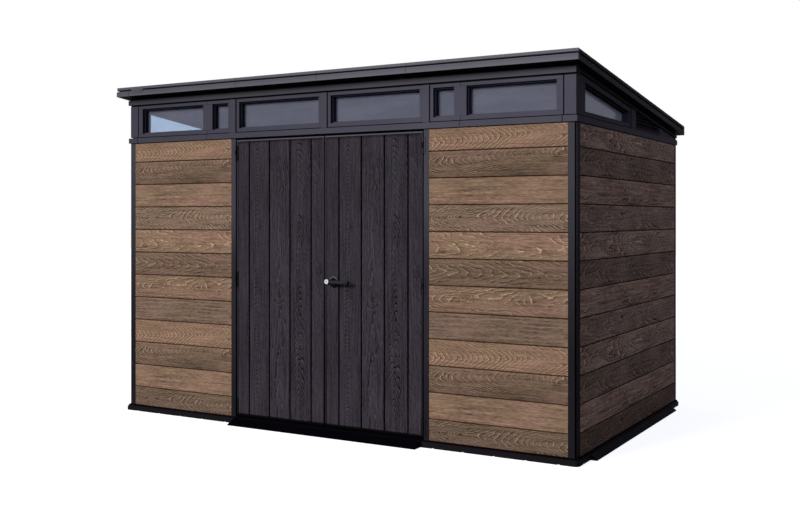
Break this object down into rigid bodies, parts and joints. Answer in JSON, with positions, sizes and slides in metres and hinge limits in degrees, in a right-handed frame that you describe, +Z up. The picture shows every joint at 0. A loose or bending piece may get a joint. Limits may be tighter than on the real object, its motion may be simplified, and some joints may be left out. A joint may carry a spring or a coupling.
{
  "type": "garden shed",
  "caption": "Garden shed with board walls in a dark frame, a lean-to roof, a band of high windows, louvred gables and a pair of hinged plank doors with a lever handle.",
  "frame": {"origin": "on the ground under the middle of the four walls, on the base's flat underside", "axes": "+Z up, -Y towards the front with the doors, +X to the right when facing the doors"},
  "size_m": [3.43, 2.252, 2.2665],
  "materials": {
    "base_resin": "moulded resin, near black",
    "ramp_resin": "moulded resin, near black",
    "frame_resin": "moulded resin, graphite grey",
    "louvre_resin": "moulded resin, dark grey",
    "board_resin": "resin boards with an embossed brown wood grain",
    "roof_resin": "moulded resin, graphite grey",
    "glazing": "clear sheet with a grey tint",
    "door_resin": "charcoal resin with an embossed wood grain",
    "hinge_metal": "black coated steel",
    "handle_plastic": "black, satin",
    "lock_metal": "bright metal key cylinder"
  },
  "bodies": {
    "root": {"floor_base": "base_resin", "front_ramp": "ramp_resin", "side_ramps": "ramp_resin", "door_threshold": "ramp_resin", "front_corner_posts": "frame_resin", "back_corner_posts": "frame_resin", "door_posts": "frame_resin", "door_stops": "frame_resin", "front_wall_left": "board_resin", "front_wall_right": "board_resin", "side_wall_left": "board_resin", "side_wall_right": "board_resin", "back_wall": "board_resin", "front_sill": "frame_resin", "side_sills": "frame_resin", "back_sill": "frame_resin", "back_top_rail": "frame_resin", "front_window_rails": "frame_resin", "front_window_stiles": "frame_resin", "front_mullions": "frame_resin", "front_corner_caps": "frame_resin", "front_glass": "glazing", "gable_window_rails": "frame_resin", "gable_window_stiles": "frame_resin", "gable_glass": "glazing", "gable_mullions": "frame_resin", "gable_louvres": "louvre_resin", "gable_ends": "frame_resin", "front_top_trim": "frame_resin", "gable_trims": "frame_resin", "roof_deck": "roof_resin", "roof_edge_front": "roof_resin", "roof_edge_back": "roof_resin", "roof_edge_left": "roof_resin", "roof_edge_right": "roof_resin", "roof_lap_tab": "roof_resin", "frame_hinges": "hinge_metal"},
    "door_left": {"door_left": "door_resin", "leaf_hinges_left": "hinge_metal"},
    "door_right": {"door_right": "door_resin", "leaf_hinges_right": "hinge_metal", "handle_rosette": "handle_plastic", "lock_cylinder": "lock_metal"},
    "lever": {"lever_handle": "handle_plastic"}
  },
  "joints": [
    {"name": "door_left_swing", "type": "hinge", "parent": "root", "child": "door_left", "pos_m": [-0.7035, -1.045, 0.96], "axis": [0, 0, -1], "range_deg": [0, 110]},
    {"name": "door_right_swing", "type": "hinge", "parent": "root", "child": "door_right", "pos_m": [0.7035, -1.045, 0.96], "axis": [0, 0, 1], "range_deg": [0, 110]},
    {"name": "lever_press", "type": "hinge", "parent": "door_right", "child": "lever", "pos_m": [0.07, -1.06, 0.955], "axis": [0, 1, 0], "range_deg": [0, 45], "stiffness_Nm_per_rad": 1.2, "springref_deg": -17.19}
  ]
}
